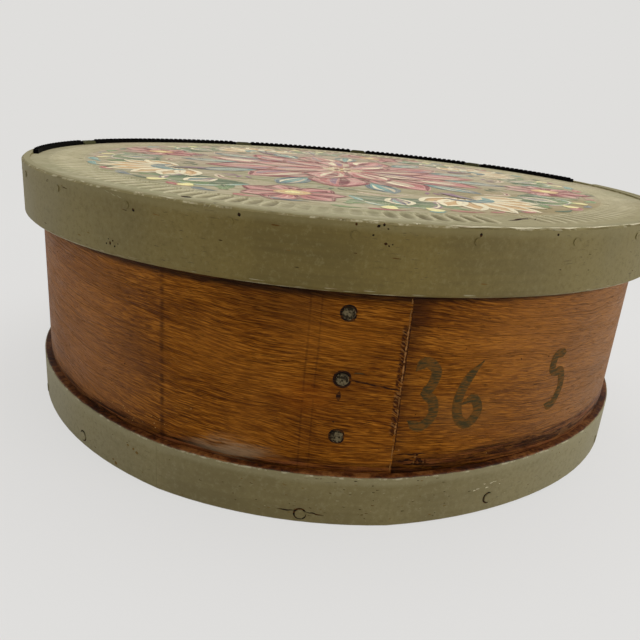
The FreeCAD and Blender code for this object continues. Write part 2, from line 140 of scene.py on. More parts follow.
class Graph:
    """The nodes of one material. It holds the spot on the object, which moves with it, and the colour so
    far."""

    def __init__(self, name, roughness, shine=0.5):
        self.material = bpy.data.materials.new(name)
        self.material.use_nodes = True
        self.tree = self.material.node_tree
        self.shader = self.tree.nodes["Principled BSDF"]
        self.fill(self.shader, {"Roughness": roughness, "Specular IOR Level": shine})
        spot = self.new("ShaderNodeTexCoord").outputs["Object"]
        self.spot = self.parts("ShaderNodeSeparateXYZ", spot)
        self.x, self.y, self.z = self.spot
        self.colour = None

    def new(self, kind, inputs=(), **settings):
        """A node of a kind, with its inputs and settings."""
        node = self.tree.nodes.new(kind)
        for name, value in settings.items():
            setattr(node, name, value)
        self.fill(node, inputs if isinstance(inputs, dict) else dict(enumerate(inputs)))
        return node

    def fill(self, node, inputs):
        """Gives inputs of a node plain values, or joins them to other nodes."""
        for name, value in inputs.items():
            if isinstance(value, Signal):
                value = value.socket
            if isinstance(value, bpy.types.NodeSocket):
                self.tree.links.new(value, node.inputs[name])
            else:
                node.inputs[name].default_value = value

    def parts(self, kind, source):
        """The three numbers that a vector or a colour is made of."""
        return [Signal(self, socket) for socket in self.new(kind, (source,)).outputs]

    def attribute(self, name):
        """A colour that the mesh itself carries."""
        return self.new("ShaderNodeAttribute", attribute_name=name).outputs["Color"]

    def calculate(self, operation, *values):
        """The result of a Math node."""
        return Signal(self, self.new("ShaderNodeMath", values, operation=operation).outputs[0])

    def length(self, x, y):
        """The length of a flat vector."""
        return self.calculate("SQRT", x * x + y * y)

    def noise(self, place, scale, detail=2.0, rough=0.5):
        """A cloudy noise. With a scale for each axis it comes out in streaks along the smallest."""
        if isinstance(scale, tuple):
            place = [axis * factor for axis, factor in zip(place, scale)]
            scale = 1.0
        vector = self.new("ShaderNodeCombineXYZ", place).outputs[0]
        inputs = {"Vector": vector, "Scale": scale, "Detail": detail, "Roughness": rough}
        return Signal(self, self.new("ShaderNodeTexNoise", inputs).outputs["Fac"])

    def mix(self, share, first, second):
        """The first colour with a share of the second over it."""
        return self.new("ShaderNodeMix", {0: share, 6: first, 7: second}, data_type="RGBA").outputs[2]

    def coat(self, share, tone):
        """Lays a share of another tone over the colour so far."""
        self.colour = self.mix(share, self.colour, tone)

    def ramp(self, value, places, tones):
        """Three tones at three places along a value."""
        node = self.new("ShaderNodeValToRGB", (value,))
        elements = node.color_ramp.elements
        elements.new(0.5)
        for element, place, tone in zip(elements, places, tones):
            element.position, element.color = place, tone
        return node.outputs[0]

    def finish(self, relief, depth, strength, roughness=None):
        """Joins the colour, the relief and a roughness that varies to the shader."""
        bump = self.new("ShaderNodeBump", {"Height": relief, "Distance": depth, "Strength": strength})
        self.fill(self.shader, {"Base Color": self.colour, "Normal": bump.outputs[0]})
        if roughness is not None:
            self.fill(self.shader, {"Roughness": roughness})
        return self.material


# ---- materials: wood
VENEER = {"dark": paint(74, 34, 0), "mid": paint(122, 68, 4), "light": paint(172, 108, 30)}
BARE = {"dark": paint(120, 86, 52), "mid": paint(164, 126, 82), "light": paint(190, 156, 110)}
EDGE_WOOD = {"dark": paint(40, 14, 0), "mid": paint(84, 40, 4), "light": paint(134, 84, 38)}
# tones of flaking grime, also laid as painted shade under the lid's edge
GRIME_AND_SHADE_TONES = {"dark": paint(26, 8, 0), "mid": paint(58, 25, 5), "light": paint(122, 70, 38)}
GRIME = paint(46, 16, 0)
GRAIN_SLOPE, GRAIN_SWAY = 0.07, 10 * MM
# of each patch of the wall: angle, height, half width and half height in mm, share and colour
WALL_PATCHES = (
    (-96, 95, 20, 9, 0.55, paint(70, 34, 2)), (-78.2, 94, 5, 11, 0.6, paint(60, 26, 2)),
    (-87, 83, 15, 5, 0.30, paint(164, 98, 22)), (-108, 66, 22, 9, 0.22, paint(150, 88, 14)),
    (-92, 56, 10, 6, 0.30, paint(150, 78, 8)), (-127, 48, 30, 24, 0.26, paint(158, 108, 70)),
    (-62, 84, 26, 12, 0.30, paint(176, 112, 44)), (-70, 48, 16, 8, 0.25, paint(150, 106, 56)))
WALL_SCUFF = (-102, 28, 15, 4.5)
# angle, breadth in mm and share of each dark upright line; the first is over the lap's hidden edge
UPRIGHT_LINES = ((TIP_ANGLE, 0.85, 0.6), (-92.4, 0.35, 0.35), (-91.0, 0.3, 0.3))


def oak(g, along, across, depth, tones):
    """The colour and the relief of oak, all along one direction: broad bands, fibres, fine ripples, thin
    dark rings and dark pores."""
    sway = g.noise((along, across, depth), (12, 40, 30))
    grain = (along, across + (along * GRAIN_SLOPE + sway * GRAIN_SWAY), depth)
    bands = g.noise(grain, (6, 80, 60), 3, 0.6)
    fibres = g.noise(grain, (55, 1350, 400), 3, 0.7)
    ripples = g.noise(grain, (210, 3300, 500), 1)
    lines = g.noise(grain, (80, 2300, 600), 2, 0.6)
    rings = abs(g.noise(grain, (4, 170, 60)) - 0.5).between(0.014, 0.0)
    pores = g.noise(grain, (170, 3200, 1500)).between(0.60, 0.68)
    tone = bands * 0.22 + (ripples * 0.42 + lines * 0.36)
    colour = g.ramp(tone, (0.38, 0.50, 0.62), tones.values())
    for share, name in ((fibres.between(0.48, 0.38) * 0.50, "dark"),
                        (fibres.between(0.55, 0.66) * 0.45, "light"),
                        (rings * 0.55, "dark"), (pores * 0.6, "dark")):
        colour = g.mix(share, colour, tones[name])
    return colour, lines * 0.4 + ripples * 0.5 - (pores * 0.6 + rings * 0.5)


def arc_at(angle):
    """How far round the wall an angle is from the free end of its lap."""
    return math.radians((angle - LAP_END) % 360) * WALL_RADIUS


def near(g, arc, height, oval, soft):
    """1 inside an oval on the wall, fading to 0 outside it. The oval has an angle, and in mm a height,
    a half width and a half height."""
    angle, level, half_width, half_height = oval
    across = (arc - arc_at(angle)) / (half_width * MM)
    upward = (height - level * MM) / (half_height * MM)
    return g.length(across, upward).between(1.0 + soft, 1.0 - soft)


def cloud_and_sheen_veneer(g, arc, height, cloud):
    """Lighter and darker clouds, painted sheen on both sides and painted light on the right, and the
    patches.
    """
    g.coat(cloud.between(0.45, 0.70) * 0.30, paint(150, 92, 30))
    g.coat(cloud.between(0.48, 0.26) * 0.50, VENEER["dark"])
    # painted sheen: both sides greyer and lighter, and painted light: the right side lighter still
    g.coat(abs(g.x).between(0.05, 0.15) * 0.45, paint(152, 104, 62))
    g.coat(g.x.between(0.06, 0.15) * 0.35, paint(164, 122, 80))
    for *oval, share, tone in WALL_PATCHES:
        g.coat(near(g, arc, height, oval, 0.8) * share, tone)


def tear_lap(g, arc, height):
    """A strip torn slantwise along the free end of the lap, above and below the middle nail."""
    behind = math.tau * WALL_RADIUS - arc
    aside = abs(height - WALL_NAIL_HEIGHTS[1] * MM)
    torn = behind.between(3.2 * MM, 2.2 * MM) * aside.between(25 * MM, 22 * MM)
    slant = g.noise((arc + height * 1.6, height - arc, 0), (620, 150, 1))
    g.coat(torn * 0.35, paint(84, 44, 10))
    g.coat(torn * (slant.between(0.53, 0.42) * 0.7), GRIME)
    g.coat(torn * (slant.between(0.54, 0.64) * 0.5), paint(146, 104, 60))


def grime_and_shade_veneer(g, place):
    """Flaking grime above the foot, darker streaks beside the lap's step, grime and painted shade under the
    lid's edge, and a painted shadow line right under the lid. The wood that the closed lid covers is paler
    and clean."""
    arc, height = place[:2]
    streaks = g.noise(place, (22, 700, 60), 3, 0.7)
    sway = g.noise(g.spot, (30, 30, 60)) * (7 * MM) + streaks * (5 * MM)
    taller = g.x.between(0.01, 0.09) * (5 * MM)
    above_foot = (height + sway - taller).between(FOOT_TOP + 12 * MM, FOOT_TOP + 7 * MM)
    covered = (height - sway * 0.3).between(LID_EDGE, LID_EDGE + 3 * MM)
    uncovered = 1.0 - covered
    # painted shade: the wall darker under the overhanging lid's edge
    shade_under_lid = (height - sway * 0.6).between(LID_EDGE - 8 * MM, LID_EDGE - 3 * MM) * uncovered
    # painted shadow: a near-black line right under the lid's edge
    shadow_line_under_lid = height.between(LID_EDGE - 5 * MM, LID_EDGE - 2.5 * MM) * uncovered
    beside_lap = arc.between(9 * MM, 0.5 * MM) * streaks.between(0.30, 0.60)
    flaking = g.noise(place, (110, 520, 60), 4, 0.7).between(0.40, 0.56) * 0.42 + 0.50
    g.coat(covered * 0.45, paint(150, 106, 58))
    grime_and_shade = g.ramp(streaks, (0.42, 0.50, 0.60), GRIME_AND_SHADE_TONES.values())
    # grime above the foot, grime with painted shade under the lid
    g.coat(g.calculate("MAXIMUM", above_foot, shade_under_lid) * flaking, grime_and_shade)
    g.coat(shadow_line_under_lid * 0.75, paint(16, 5, 0))
    g.coat(beside_lap * 0.6, paint(50, 24, 8))


def line_veneer(g, arc, cloud):
    """The dark upright lines, swaying and broken."""
    broken = g.noise(g.spot, (20, 20, 190), 3).between(0.36, 0.56)
    for angle, breadth, share in UPRIGHT_LINES:
        away = abs(arc - ((cloud - 0.5) * (1.5 * MM) + arc_at(angle)))
        g.coat(away.between(2 * breadth * MM, 0.3 * breadth * MM) * broken * share, GRIME)


def varnished_wood():
    """Oak veneer, under old varnish, dirt and wear outside and bare inside."""
    g = Graph("varnished_wood", 0.4, 0.06)
    start = math.radians(LAP_END)
    turn = g.calculate("WRAP", g.calculate("ARCTAN2", g.y, g.x), start + math.tau, start)
    place = ((turn - start) * WALL_RADIUS, g.z, g.length(g.x, g.y))
    arc, height, out = place
    cloud = g.noise(g.spot, 24, 3)
    g.colour, relief = oak(g, *place, VENEER)
    cloud_and_sheen_veneer(g, arc, height, cloud)
    tear_lap(g, arc, height)
    grime_and_shade_veneer(g, place)
    line_veneer(g, arc, cloud)
    scratched = g.noise(place, (60, 420, 60), 4).between(0.36, 0.60)
    g.coat(near(g, arc, height, WALL_SCUFF, 0.7) * scratched * 0.6, paint(150, 128, 100))
    g.coat(out.between(WALL_INSIDE + 0.6 * MM, WALL_INSIDE + 0.3 * MM), oak(g, *place, BARE)[0])
    return g.finish(relief, 0.5 * MM, 0.9, g.noise(place, (70, 260, 90), 3) * 0.35 + 0.34)


def bare_wood():
    """Plain boards, dusty and unvarnished, grain along X."""
    g = Graph("bare_wood", 0.75)
    g.colour, relief = oak(g, *g.spot, BARE)
    g.coat(g.noise(g.spot, 22, 3).between(0.45, 0.75) * 0.35, paint(92, 62, 34))
    return g.finish(relief, 0.3 * MM, 0.6)


# ---- materials: paint and iron
OLIVE = {"deep": paint(96, 82, 38), "main": paint(114, 98, 48), "green": paint(132, 122, 82)}
FOOT_OLIVE = {"deep": paint(108, 96, 58), "main": paint(124, 112, 72), "green": paint(146, 138, 104)}
SADDLE_OLIVE = {"deep": paint(44, 42, 18), "main": paint(70, 68, 36), "green": paint(74, 74, 42)}
# the upper face of the lid's hoop, lighter as painted light from above
LIT_OLIVE_TOP = paint(142, 134, 98)
# the lid's ground: its own beige colour, lighter than the hoop's olive in part as painted light from above
GROUND = {"main": paint(172, 160, 126), "green": paint(146, 142, 104), "pale": paint(198, 186, 158),
          "rose": paint(190, 158, 144)}
WORN = paint(218, 210, 178)
SOOT = paint(18, 13, 8)


def split_wood(g, mottle):
    """The bare dark wood of the foot hoop's upper edge, split along the hoop."""
    splits = g.noise(g.spot, (60, 60, 900), 4, 0.7)
    return g.ramp(splits + (mottle - 0.5) * 0.7, (0.34, 0.50, 0.68), EDGE_WOOD.values())


def olive_paint(name, low, high, inside, lit_top_colour, tones):
    """Olive paint on a hoop: thinly brushed, nicked, lighter and greener at the sides as painted light and
    below its upper edge as a painted highlight, rubbed along both edges. Its upper face has a lighter colour
    as painted light from above, or shows dark wood. Its inside is bare."""
    g = Graph(name, 0.55, 0.25)
    strokes = g.noise(g.spot, (14, 14, 420), 3, 0.6)
    cloud = g.noise(g.spot, 26, 3)
    mottle = g.noise(g.spot, 480, 4, 0.75)
    ragged = g.noise(g.spot, (220, 220, 700), 3) * (1.6 * MM)
    nicks = g.noise(g.spot, (260, 260, 1900)).between(0.66, 0.72) * cloud.between(0.40, 0.62)
    patchy = g.noise(g.spot, 45, 3).between(0.42, 0.62)
    broken = g.noise(g.spot, 190, 4, 0.7).between(0.50, 0.62)
    brim = g.z + ragged * 0.35
    highlight_below_brim = (g.z + cloud * (3 * MM)).between(high - 3.5 * MM, high - 0.5 * MM)
    low_edge = (abs(g.z - low) + ragged).between(1.35 * MM, 0.75 * MM)
    high_edge = brim.between(high - 0.95 * MM, high - 0.45 * MM)
    g.colour = g.mix(cloud.between(0.35, 0.65), tones["deep"], tones["main"])
    g.coat(strokes.between(0.35, 0.70) * 0.45, tones["main"])
    # painted light: both sides lighter and greener
    g.coat(abs(g.x).between(0.02, 0.16) * 0.75, tones["green"])
    g.coat(mottle.between(0.50, 0.66) * 0.45, tones["deep"])
    g.coat(mottle.between(0.48, 0.34) * 0.30, tones["green"])
    # painted highlight just below the upper edge
    g.coat(highlight_below_brim * 0.45, tones["green"])
    g.coat(low_edge * patchy * 0.4, WORN)
    g.coat(high_edge * broken * 0.4, WORN)
    # the upper face: a lighter tone as painted light from above, or bare dark wood
    g.coat(brim.between(high - 0.30 * MM, high + 0.05 * MM), lit_top_colour or split_wood(g, mottle))
    g.coat(nicks * 0.55, paint(60, 48, 24))
    out = g.length(g.x, g.y)
    lining = out.between(inside + 0.9 * MM, inside + 0.6 * MM)
    lining = lining * g.z.between(high - 1.0 * MM, high - 1.3 * MM)
    g.coat(lining, oak(g, g.calculate("ARCTAN2", g.y, g.x) * WALL_RADIUS, g.z, out, BARE)[0])
    return g.finish(strokes * 0.4 + mottle * 0.6 - nicks * 0.8, 0.25 * MM, 0.6, cloud * 0.25 + 0.45)


def lid_ground():
    """The lid's greenish beige ground, thinly brushed over the boards, lighter than the hoop's olive in part
    as
    painted light from above: rosier towards the back, browner at the front right, painted shade in the
    hollows of the carving, pale on its ridges from wear and a painted highlight; bare wood underneath."""
    g = Graph("lid_ground", 0.6, 0.3)
    hollow, ridge = g.parts("ShaderNodeSeparateColor", g.attribute("carved"))[:2]
    cloud = g.noise(g.spot, 16, 4, 0.6)
    brushed = g.noise(g.spot, (26, 420, 30), 4, 0.7)
    mottle = g.noise(g.spot, 320, 4, 0.75)
    rosy = g.y.between(-0.09, 0.06) * g.noise(g.spot, 12, 3).between(0.34, 0.60)
    brown = g.x.between(0.01, 0.09) * g.y.between(-0.01, -0.08)
    border = g.length(g.x, g.y).between(FLUTE_INNER - 3.5 * MM, FLUTE_INNER + 2.5 * MM)
    g.colour = g.mix(cloud.between(0.35, 0.65), GROUND["main"], GROUND["green"])
    g.coat(rosy * 0.8, GROUND["rose"])
    g.coat(brushed.between(0.47, 0.60) * 0.8, GROUND["pale"])
    g.coat(brushed.between(0.46, 0.34) * 0.6, paint(126, 110, 80))
    g.coat(brown * 0.55, paint(150, 124, 78))
    g.coat(border * 0.55, GROUND["green"])
    g.coat(mottle.between(0.50, 0.68) * 0.45, paint(116, 104, 70))
    # painted shade in the hollows of the carving
    g.coat(hollow * 0.85, paint(92, 80, 48))
    # pale ridges between the cuts: wear and a painted highlight
    g.coat(ridge * 0.85, paint(210, 200, 164))
    g.coat(g.z.between(BOARD_TOP - 2.4 * MM, BOARD_TOP - 2.8 * MM), oak(g, *g.spot, BARE)[0])
    return g.finish(brushed + mottle * 0.5, 0.25 * MM, 0.6)


def black_moulding():
    """Near-black beading, dull, with a little brown where it is rubbed."""
    g = Graph("black_moulding", 0.7, 0.05)
    rub = g.noise(g.spot, 160, 3).between(0.58, 0.75)
    g.colour = g.mix(rub * 0.3, paint(3, 2, 2), paint(30, 24, 18))
    return g.finish(rub, 0.1 * MM, 0.4)


def iron():
    """Old iron, pitted black with grey-brown between the pits."""
    g = Graph("iron_nails", 0.6, 0.06)
    dark, light = paint(42, 34, 21), paint(106, 94, 69)
    pits = g.noise(g.spot, 1100, 2, 0.6)
    g.colour = g.mix(pits.between(0.56, 0.48), light, dark)
    g.coat(g.noise(g.spot, 300).between(0.50, 0.64) * 0.6, dark)
    return g.finish(pits, 0.4 * MM, 0.9, pits * 0.3 + 0.45)


def folk_paint():
    """The design's own paint: each stroke's colour, streaked along its length and worn thin."""
    g = Graph("folk_paint", 0.55)
    streak = g.new("ShaderNodeUVMap", uv_map="streak").outputs[0]
    along, across = g.parts("ShaderNodeSeparateXYZ", streak)[:2]
    bristles = g.noise((along, across, 0), (0.06, 1.4, 1), 3, 0.6)
    wear = g.noise(g.spot, (34, 230, 30), 4, 0.7)
    g.colour = g.attribute("pigment")
    g.coat(bristles.between(0.50, 0.70) * 0.40, PIGMENTS["cream"])
    g.coat(bristles.between(0.48, 0.30) * 0.35, paint(84, 62, 58))
    g.coat(wear.between(0.48, 0.60) * (g.y.between(-0.10, 0.04) * 0.35 + 0.45), GROUND["pale"])
    g.coat(wear.between(0.46, 0.32) * 0.30, PIGMENTS["pink"])
    return g.finish(bristles, 0.12 * MM, 0.6)


def old_marks(name, low, high, share, below):
    """The colour of each mark, with the grain of what is below it showing through a share of it."""
    g = Graph(name, 0.7, 0.1)
    grain = g.noise(g.spot, (260, 260, 1500), 3, 0.6)
    g.colour = g.attribute("pigment")
    g.coat(grain.between(low, high) * share, below)
    return g.finish(grain, 0.15 * MM, 0.5)


# ---- meshes
def add_object(name, bm, material, smooth=False):
    """Turns a bmesh into an object of the scene."""
    mesh = bpy.data.meshes.new(name)
    bmesh.ops.recalc_face_normals(bm, faces=bm.faces)
    bm.to_mesh(mesh)
    bm.free()
    mesh.materials.append(material)
    if smooth:
        mesh.shade_smooth()
    piece = bpy.data.objects.new(name, mesh)
    bpy.context.collection.objects.link(piece)
    return piece


def cut_across(bm, y, side=1, clear=False):
    """Cuts a mesh along the plane of one y, and may clear away what is beyond it on one side."""
    bmesh.ops.bisect_plane(bm, geom=bm.verts[:] + bm.edges[:] + bm.faces[:], plane_co=(0, y, 0),
                           plane_no=(0, side, 0), clear_outer=clear)


def dress(material, *nodes):
    """Gives carried-over nodes their material."""
    for node in nodes:
        piece = NODES[node]
        piece.data.materials.clear()
        piece.data.materials.append(material)


def polar(radius, degrees, height):
    """A point in space from its distance out, its angle and its height."""
    angle = math.radians(degrees)
    return Vector((radius * math.cos(angle), radius * math.sin(angle), height))


def spin(degrees, length=1.0):
    """A flat vector of a given direction and length."""
    return Vector((length * math.cos(math.radians(degrees)), length * math.sin(math.radians(degrees))))


# ---- the carved lid
SEAM = 0.12 * MM
FLUTE_PITCH = 2.4
FLUTE_STEPS = 12
FLUTE_INNER, FLUTE_OUTER = 149.5 * MM, 167.0 * MM
FLUTE_DEPTH = 1.8 * MM
FLUTE_WIDTH = 0.84
FLUTE_UNEVEN = 0.15
RIDGE_WIDTH = 0.22
COARSE_STEP, FINE_STEP = 10 * MM, 1 * MM
# how crisp the cuts still are between two angles: none by the crack, and nearly worn flat at the front
FLUTE_WEAR = ((-66.5, -60.0, 0.0), (-98.0, -84.0, 0.25), (-103.0, -98.0, 0.6), (-84.0, -79.0, 0.6))


def flute_strength(degrees):
    """How crisp the gouge cuts still are at an angle, from 0 to 1."""
    for start, stop, strength in FLUTE_WEAR:
        if start < degrees < stop:
            return strength
    return 1.0


def flute(radius, degrees):
    """How deep the lid is cut at a point by its row of thumbnail gouge cuts, and how much the point
    is on a ridge between two of them, from 0 to 1."""
    along = (radius - FLUTE_INNER) / (FLUTE_OUTER - FLUTE_INNER)
    if not 0 < along < 1:
        return 0.0, 0.0
    number = math.floor(degrees / FLUTE_PITCH)
    across = abs(2 * (degrees / FLUTE_PITCH - number) - 1)
    uneven = 1 - FLUTE_UNEVEN + FLUTE_UNEVEN * math.sin(7.3 * number)
    strength = flute_strength((number + 0.5) * FLUTE_PITCH) * uneven
    width = FLUTE_WIDTH * math.sqrt(1 - abs(2 * along - 1) ** 3)
    ridge = max(1 - abs(across - width) / RIDGE_WIDTH, 0.0) * strength
    if across >= width:
        return 0.0, ridge
    section = 1 - (across / width) ** 2
    return FLUTE_DEPTH * strength * section * math.sin(math.pi * along ** 0.6), ridge


def ring_radii():
    """Radii of the lid's mesh: coarse in the middle, fine over the carved border."""
    inner = [COARSE_STEP * i for i in range(1, 15)]
    border = [FLUTE_INNER - 1.5 * MM + FINE_STEP * i for i in range(21)]
    return inner + border + [BOARD_RADIUS]


def carved_disc():
    """The lid's whole upper surface, which carries how far each point is in a hollow or on a ridge."""
    bm = bmesh.new()
    carved = bm.verts.layers.float_color.new("carved")
    steps = round(360 / FLUTE_PITCH) * FLUTE_STEPS
    centre = bm.verts.new((0, 0, BOARD_TOP))
    rings = []
    for radius in ring_radii():
        ring = []
        for i in range(steps):
            degrees = 360 * i / steps - 180
            depth, ridge = flute(radius, degrees)
            vertex = bm.verts.new(polar(radius, degrees, BOARD_TOP - depth))
            # depth in a hollow and share on a ridge, from which the ground paints shade and a highlight
            vertex[carved] = (min(depth / FLUTE_DEPTH * 1.3, 1.0), ridge, 0.0, 1.0)
            ring.append(vertex)
        rings.append(ring)
    for i in range(steps):
        bm.faces.new((centre, rings[0][i], rings[0][(i + 1) % steps]))
    for inner, outer in zip(rings, rings[1:]):
        for i in range(steps):
            j = (i + 1) % steps
            bm.faces.new((inner[i], outer[i], outer[j], inner[j]))
    return bm


def sorted_loop(edges):
    """The vertices of a closed loop of edges, in order."""
    links = {}
    for edge in edges:
        for a, b in (edge.verts, reversed(edge.verts)):
            links.setdefault(a, []).append(b)
    first = edges[0].verts[0]
    loop, last, here = [first], None, first
    while True:
        following = [v for v in links[here] if v is not last][0]
        if following is first:
            return loop
        loop.append(following)
        last, here = here, following


def carve_boards(material):
    """Three boards cut from the carved disc, each closed round its edge and underneath."""
    spans = {"front": (-2 * BOARD_RADIUS, JOINT_FRONT - SEAM),
             "middle": (JOINT_FRONT + SEAM, JOINT_BACK - SEAM),
             "back": (JOINT_BACK + SEAM, 2 * BOARD_RADIUS)}
    whole = carved_disc()
    for name, (low, high) in spans.items():
        bm = whole.copy()
        cut_across(bm, low, -1, True)
        cut_across(bm, high, 1, True)
        rim = [edge for edge in bm.edges if edge.is_boundary]
        skirt = bmesh.ops.extrude_edge_only(bm, edges=rim)["geom"]
        for item in skirt:
            if isinstance(item, bmesh.types.BMVert):
                item.co.z = BOARD_UNDER
        bm.faces.new(sorted_loop([edge for edge in bm.edges if edge.is_boundary]))
        piece = add_object(f"lid_{name}_board_carved", bm, material)
        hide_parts(f"lid_{name}_board")
        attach(piece, "lid")
    whole.free()


# ---- brush strokes
PIGMENTS = {
    "ochre": paint(188, 138, 78), "amber": paint(214, 176, 118), "cream": paint(240, 228, 190),
    "rose": paint(176, 92, 90), "pink": paint(210, 154, 144), "wine": paint(126, 52, 56),
    "teal": paint(104, 156, 148), "leaf": paint(108, 138, 82), "moss": paint(72, 96, 62),
    "lemon": paint(244, 234, 158), "slate": paint(84, 104, 112), "plum": paint(140, 104, 120),
    "sand": paint(208, 190, 158), "soot": SOOT, "worn": WORN, "crack": paint(34, 13, 3),
    "chip": paint(148, 104, 58), "dirt": paint(66, 54, 28), "ink": paint(60, 51, 25),
    "wash": paint(82, 58, 22), "resin": paint(112, 90, 46), "bark": paint(128, 88, 44),
    "bruise": paint(52, 22, 4), "lip": paint(152, 144, 110),
}
LAYER_STEP, CROWN, SUNK = 0.05 * MM, 0.055 * MM, 0.012 * MM
draw = random.Random(11)


def smooth_line(points, count):
    """Points along a Catmull-Rom curve through a few control points."""
    ends = [2 * points[0] - points[1]] + list(points) + [2 * points[-1] - points[-2]]
    line = []
    for i in range(count + 1):
        place = i * (len(points) - 1) / count
        k = min(int(place), len(points) - 2)
        t = place - k
        a, b, c, d = ends[k:k + 4]
        line.append(0.5 * (2 * b + (c - a) * t + (2 * a - 5 * b + 4 * c - d) * t ** 2
                           + (3 * b - a - 3 * c + d) * t ** 3))
    return line


def comma(t):
    """The share of its width that a comma stroke has along its length: round head, drawn out tail."""
    return max(math.sin(math.pi * t ** 0.55), 0.02)


def almond(t):
    """A stroke that is narrow at both ends."""
    return max(math.sin(math.pi * t) ** 0.75, 0.02)


def even(t):
    """A stroke of one width but for its ends."""
    return max(min(1.0, 8 * t, 8 * (1 - t)), 0.05)


def on_lid(spot, lift):
    """A point on the lid's surface, following the carving, raised by lift."""
    depth = flute(spot.length, math.degrees(math.atan2(spot.y, spot.x)))[0]
    return Vector((spot.x, spot.y, BOARD_TOP - depth + lift))


class Brush:
    """Collects brush strokes of paint into one mesh. Each is a low crowned ribbon on a surface, which
    is a function from a flat point and a lift to a point in space."""

    def __init__(self, name, surface=on_lid):
        self.name = name
        self.surface = surface
        self.bm = bmesh.new()
        self.pigment = self.bm.verts.layers.float_color.new("pigment")
        self.streak = self.bm.loops.layers.uv.new("streak")

    def stroke(self, line, width, shape, root, tip=None, layer=0, across=4):
        """Lays a stroke along a line: its greatest width, its shape and its colours at each end."""
        root = PIGMENTS[root]
        tip = PIGMENTS[tip] if tip else root
        tint = draw.uniform(0.90, 1.06)
        offset = draw.uniform(0, 100)
        travelled, rows = 0.0, []
        for i, point in enumerate(line):
            t = i / (len(line) - 1)
            if i:
                travelled += (point - line[i - 1]).length
            ahead = line[min(i + 1, len(line) - 1)] - line[max(i - 1, 0)]
            side = Vector((-ahead.y, ahead.x)).normalized() * width / 2 * shape(t)
            row = []
            for j in range(across + 1):
                s = 2 * j / across - 1
                lift = layer * LAYER_STEP + CROWN * (1 - s * s) - SUNK
                vertex = self.bm.verts.new(self.surface(point + side * s, lift))
                share = t ** 1.5
                vertex[self.pigment] = tuple(tint * (r + (q - r) * share) for r, q in zip(root, tip))
                row.append((vertex, (travelled / MM, offset + s * width / MM / 2)))
            rows.append(row)
        for one, two in zip(rows, rows[1:]):
            for j in range(across):
                corners = (one[j], one[j + 1], two[j + 1], two[j])
                face = self.bm.faces.new([vertex for vertex, uv in corners])
                for loop, (vertex, uv) in zip(face.loops, corners):
                    loop[self.streak].uv = uv

    def mark(self, points, width, colour, layer=0, count=6, shape=almond):
        """A thin stroke of one colour through a few points."""
        self.stroke(smooth_line(points, count), width, shape, colour, None, layer, 2)

    def lay(self, material, joints=(), body="lid", slot="decorated_top"):
        """Cuts the paint along the given joints of the boards and makes it a piece of a body."""
        for joint in joints:
            cut_across(self.bm, joint - SEAM)
            cut_across(self.bm, joint + SEAM)
            cracked = [face for face in self.bm.faces if abs(face.calc_center_median().y - joint) < SEAM]
            bmesh.ops.delete(self.bm, geom=cracked, context="FACES")
        piece = add_object(self.name, self.bm, material, smooth=True)
        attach(piece, body)


# ---- the painting on the lid
# petals of each ring of the rose, and in mm their inner radius, length and width
ROSE_RINGS = ((11, 30, 56, 32), (9, 12, 44, 27))
ROSE_MIDDLE = Vector((0, 4 * MM))
SEPALS, GROUPS, BORDER_STROKES = 11, 8, 48
FIRST_GROUP = -100


def petal(brush, base, direction, length, width, colours, streaks, layer, line):
    """A petal filled from one colour to a second, with streaks of other colours along it and an
    outline of the third, drawn in two strokes."""
    fill, tip, edge = colours
    end = base + spin(direction, length)
    middle = base + spin(direction, length * 0.55)
    spine = smooth_line([base, base + spin(direction, length / 2), end], 12)
    brush.stroke(spine, width, almond, fill, tip, layer)
    for i, colour in enumerate(streaks):
        aside = spin(direction + 90, width * (0.62 * (i + 0.5) / len(streaks) - 0.31))
        start = base + spin(direction, length * draw.uniform(0.10, 0.25)) + aside * 0.5
        finish = base + spin(direction, length * draw.uniform(0.72, 0.95)) + aside * 0.6
        brush.mark([start, middle + aside * 1.2, finish], width * draw.uniform(0.10, 0.20), colour,
                   layer + 1, 10)
    for side in (-1, 1):
        bulge = spin(direction + 90 * side, width * 0.49)
        brush.mark([base + bulge * 0.25, middle + bulge, end], line, edge, layer + 2, 12, even)


def blossom(brush, centre, size, petals, colours, heart, turn=0.0):
    """An open flower: streaked petals round a heart, with a dot in it."""
    edge = colours[2]
    for i in range(petals):
        direction = turn + 360 * i / petals + draw.uniform(-6, 6)
        petal(brush, centre + spin(direction, size * 0.2), direction, size * draw.uniform(0.74, 0.86),
              size * 0.66, colours, (edge, "pink"), 1, size * 0.07)
    for layer, share, colour in ((4, 0.34, heart), (5, 0.14, "lemon")):
        across = spin(turn + 20, size * share)
        disc = smooth_line([centre - across, centre, centre + across], 8)
        brush.stroke(disc, size * share * 2, almond, colour, None, layer)


def fan(brush, root, direction, reach, petals, colours, core):
    """A fan of outlined petals that open from one root, over a curved core."""
    tip = colours[1]
    for i in range(petals):
        turn = (i / (petals - 1) - 0.5) * 150
        length = reach * (1 - 0.25 * abs(turn) / 75)
        petal(brush, root + spin(direction + turn, reach * 0.16), direction + turn, length, reach * 0.30,
              colours, (tip,), 1 + i % 2, 2.8 * MM)
    bow = [root + spin(direction + turn, reach * 0.34) for turn in (-85, -40, 0, 40, 85)]
    brush.stroke(smooth_line(bow, 16), reach * 0.20, almond, core, "teal", 5)
    stalk = [root - spin(direction, reach * 0.35), root, root + spin(direction, reach * 0.3)]
    brush.stroke(smooth_line(stalk, 10), reach * 0.16, comma, "plum", core, 6)


